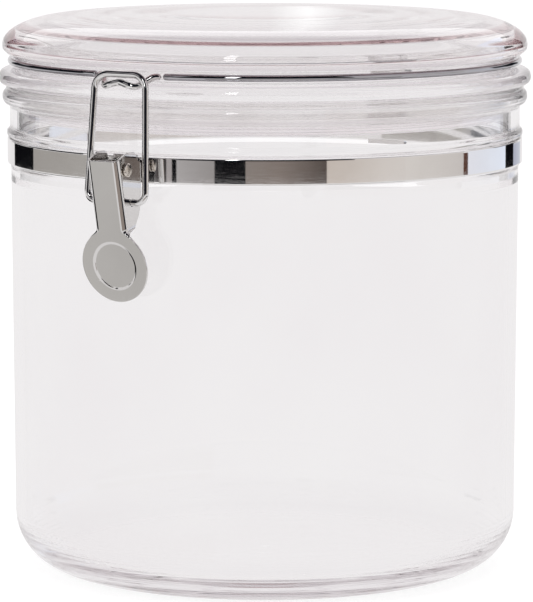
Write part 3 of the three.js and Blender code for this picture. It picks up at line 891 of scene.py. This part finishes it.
def reflector(name, start, end, near, far, colour, end_colour=None, seen_through=True,
              steep_only=False):
    """Curved sheet that only shiny and clear surfaces see, between two (radius, height) edges.

    Angles are measured round the canister from the camera, in degrees. The colour runs from colour
    at start to end_colour at end. With seen_through off, light that has passed through clear
    plastic does not meet it either. With steep_only, only steep rays meet it."""
    bm = bmesh.new()
    shade = bm.verts.layers.float_color.new("shade")
    steps = max(2, int(abs(end - start) / COLUMN_STEP))
    columns = []
    for i in range(steps + 1):
        share = i / steps
        column = []
        for radius, height in (near, far):
            vert = bm.verts.new(around(start + (end - start) * share, radius, height))
            vert[shade] = (*Vector(colour).lerp(Vector(end_colour or colour), share), 1)
            column.append(vert)
        columns.append(column)
    for (a, b), (c, d) in zip(columns[:-1], columns[1:]):
        bm.faces.new((a, c, d, b))
    piece = make_object(name, bm)
    material = bpy.data.materials.new(name)
    material.use_nodes = True
    tree = material.node_tree
    tree.nodes.clear()
    attribute = tree.nodes.new("ShaderNodeAttribute")
    attribute.attribute_name = "shade"
    emission = tree.nodes.new("ShaderNodeEmission")
    output = tree.nodes.new("ShaderNodeOutputMaterial")
    tree.links.new(attribute.outputs["Color"], emission.inputs["Color"])
    surface = emission.outputs["Emission"]
    if steep_only:
        facing = tree.nodes.new("ShaderNodeLayerWeight")
        shallow = tree.nodes.new("ShaderNodeMath")
        shallow.operation = "GREATER_THAN"
        shallow.inputs[1].default_value = STEEP_LIMIT
        clear = tree.nodes.new("ShaderNodeBsdfTransparent")
        mix = tree.nodes.new("ShaderNodeMixShader")
        tree.links.new(facing.outputs["Facing"], shallow.inputs[0])
        tree.links.new(shallow.outputs["Value"], mix.inputs[0])
        tree.links.new(surface, mix.inputs[1])
        tree.links.new(clear.outputs["BSDF"], mix.inputs[2])
        surface = mix.outputs["Shader"]
    tree.links.new(surface, output.inputs["Surface"])
    piece.data.materials.append(material)
    piece.visible_camera = False
    piece.visible_diffuse = False
    piece.visible_volume_scatter = False
    piece.visible_shadow = False
    piece.visible_transmission = seen_through


BLACK = (0.004, 0.004, 0.005)
ROOM = (0.008, 0.009, 0.014)
TABLE = (0.87, 0.855, 0.86)
CARD_RADIUS = 1.15
CARD_FOOT = 0.036
UPPER_RADIUS = CARD_RADIUS - 0.01
LAMP_RADIUS = 1.1
CENTRE = 0.002                  # inner radius of the round sheets
MAT_HEIGHT = 0.001
TABLE_HEIGHT = -0.0001
TABLE_REACH = 4.0

# Upright cards round the canister, seen by the band: start and end angle, height of the top
# edge, colour at the start and at the end.
CARDS = [
    ("card_black_left", -145, -121, 0.08, BLACK, BLACK),
    ("card_grey_left", -121, -60, 0.06, (0.38, 0.36, 0.34), (0.44, 0.42, 0.40)),
    ("card_black_line", -60, -56, 0.3, BLACK, BLACK),
    ("card_pale_line", -56, -52, 0.3, (0.80, 0.79, 0.78), (0.80, 0.79, 0.78)),
    ("card_dim", -52, -48, 0.3, (0.28, 0.27, 0.25), (0.28, 0.27, 0.25)),
    ("card_dark", -48, -42, 0.3, (0.10, 0.09, 0.09), (0.035, 0.03, 0.03)),
    ("card_pale_thin", -42, -39.5, 0.3, (0.41, 0.38, 0.38), (0.41, 0.38, 0.38)),
    ("card_black_thin", -39.5, -37.5, 0.3, BLACK, BLACK),
    ("card_grey_near", -37.5, -21, 0.3, (0.44, 0.42, 0.42), (0.33, 0.31, 0.305)),
    ("card_black_front", -21, -8, 0.3, BLACK, BLACK),
    ("card_warm_front", -8, 6, 0.3, (0.275, 0.24, 0.22), (0.25, 0.21, 0.19)),
    ("card_dark_front", 6, 26, 0.3, (0.25, 0.21, 0.19), (0.10, 0.08, 0.072)),
    ("card_light_front", 26, 62, 0.3, (0.64, 0.57, 0.52), (0.745, 0.70, 0.67)),
    ("card_beige", 62, 95, 0.3, (0.76, 0.72, 0.69), (0.62, 0.58, 0.56)),
    ("card_brown", 95, 98, 0.06, (0.10, 0.04, 0.025), (0.10, 0.05, 0.04)),
    ("card_blue", 98, 131, 0.3, (0.86, 0.87, 0.94), (0.86, 0.92, 1.04)),
    ("card_black_right", 131, 142, 0.12, BLACK, BLACK),
    ("card_blue_grey", 142, 157, 0.06, (0.44, 0.46, 0.56), (0.62, 0.65, 0.72)),
]
SEEN_THROUGH_FROM = 60          # cards nearer the camera's side are not seen through plastic

# The dark side of the room, seen by the round wires and the lid's edge: start and end angle,
# lower and upper edge.
UPPER_CARDS = [
    ("card_room_front", -38, 38, 0.1, 1.4),
    ("card_room_left", -135, -76, 0.42, 1.4),
    ("card_room_near", -76, -40, 0.45, 1.0),
    ("card_room_low", -125, -84, 0.1, 0.42),
    ("card_edge_left", -150, -118, 0.12, 0.5),
    ("card_edge_right", 118, 150, 0.12, 0.5),
]
CEILING = 1.4

# Flat mats on the table, seen by the lever: start and end angle, inner and outer radius, colour.
MATS = [
    ("mat_black_left", -160, -70, 0.21, 0.48, BLACK),
    ("mat_grey", -70, -50, 0.28, 0.43, (0.60, 0.585, 0.57)),
    ("mat_beige", -25, 26, 0.28, 0.46, (0.35, 0.30, 0.27)),
    ("mat_dark", 26, 60, 0.32, 0.53, (0.03, 0.03, 0.035)),
]

# Bright sheets: start and end angle, lower and upper edge, colour at the start and at the end.
LAMP = (7, 7, 7)
WINDOW = (1.12, 1.12, 1.12)
SOFTBOX = (1.5, 1.5, 1.5)
BRIGHT_SHEETS = [
    ("lamp_strip", -17, -12, 0.45, 1.2, LAMP, LAMP),
    ("window_left", 177.4, 178.6, 0.25, 0.6, TABLE, WINDOW),
    ("window_right", 178.6, 179.8, 0.25, 0.6, WINDOW, TABLE),
    ("softbox_back", 140, 220, 0.6, 1.1, SOFTBOX, SOFTBOX),
]


def add_reflectors():
    for name, start, end, high, colour, end_colour in CARDS:
        behind = max(abs(start), abs(end)) > SEEN_THROUGH_FROM
        reflector(name, start, end, (CARD_RADIUS, CARD_FOOT), (CARD_RADIUS, high),
                  colour, end_colour, seen_through=behind)
    for name, start, end, low, high in UPPER_CARDS:
        reflector(name, start, end, (UPPER_RADIUS, low), (UPPER_RADIUS, high), ROOM,
                  seen_through=False)
    for name, start, end, near, far, colour in MATS:
        reflector(name, start, end, (near, MAT_HEIGHT), (far, MAT_HEIGHT), colour,
                  seen_through=False, steep_only=True)
    reflector("ceiling", -180, 180, (CENTRE, CEILING), (CARD_RADIUS, CEILING), ROOM,
              seen_through=False)
    reflector("mat_table", -180, 180, (CENTRE, TABLE_HEIGHT), (TABLE_REACH, TABLE_HEIGHT), TABLE)
    for name, start, end, low, high, colour, end_colour in BRIGHT_SHEETS:
        reflector(name, start, end, (LAMP_RADIUS, low), (LAMP_RADIUS, high), colour, end_colour,
                  seen_through=False)


# Soft lamps: angle, height, distance, size, power.
LAMPS = [
    ("key_left", -55, 1.1, 1.7, (1.0, 0.7), 9),
    ("fill_right", 60, 1.0, 1.8, (1.0, 0.7), 8),
    ("top_soft", 0, 1.9, 0.3, (1.6, 1.6), 13),
]
LAMP_AIM = 0.1


def area_light(name, angle, height, distance, size, power):
    data = bpy.data.lights.new(name, "AREA")
    data.energy = power
    data.shape = "RECTANGLE"
    data.size, data.size_y = size
    light = bpy.data.objects.new(name, data)
    light.location = around(angle, distance, height)
    aim = Vector((0, 0, LAMP_AIM)) - light.location
    light.rotation_euler = aim.to_track_quat("-Z", "Y").to_euler()
    light.visible_glossy = False
    light.visible_transmission = False
    bpy.context.scene.collection.objects.link(light)


def add_world():
    """Pale surroundings that darken upwards."""
    world = bpy.data.worlds.new("studio")
    world.use_nodes = True
    tree = world.node_tree
    background = tree.nodes["Background"]
    coords = tree.nodes.new("ShaderNodeTexCoord")
    split = tree.nodes.new("ShaderNodeSeparateXYZ")
    ramp = tree.nodes.new("ShaderNodeValToRGB")
    tree.links.new(coords.outputs["Generated"], split.inputs["Vector"])
    tree.links.new(split.outputs["Z"], ramp.inputs["Fac"])
    elements = ramp.color_ramp.elements
    elements[0].position = 0.16
    elements[0].color = (0.87, 0.85, 0.855, 1)
    elements[1].position = 0.62
    elements[1].color = (0.66, 0.62, 0.645, 1)
    tree.links.new(ramp.outputs["Color"], background.inputs["Color"])
    background.inputs["Strength"].default_value = 1.0
    bpy.context.scene.world = world


BOUNCES = 96                    # light is trapped for long in the clear skins
CLEAR_BOUNCES = 24


def light_stage():
    add_reflectors()
    add_world()
    for lamp in LAMPS:
        area_light(*lamp)
    scene = bpy.context.scene
    scene.view_settings.view_transform = "Standard"
    scene.cycles.max_bounces = BOUNCES
    scene.cycles.transmission_bounces = BOUNCES
    scene.cycles.glossy_bounces = BOUNCES
    scene.cycles.transparent_max_bounces = CLEAR_BOUNCES


build_pieces()
add_camera()
add_floor()
light_stage()
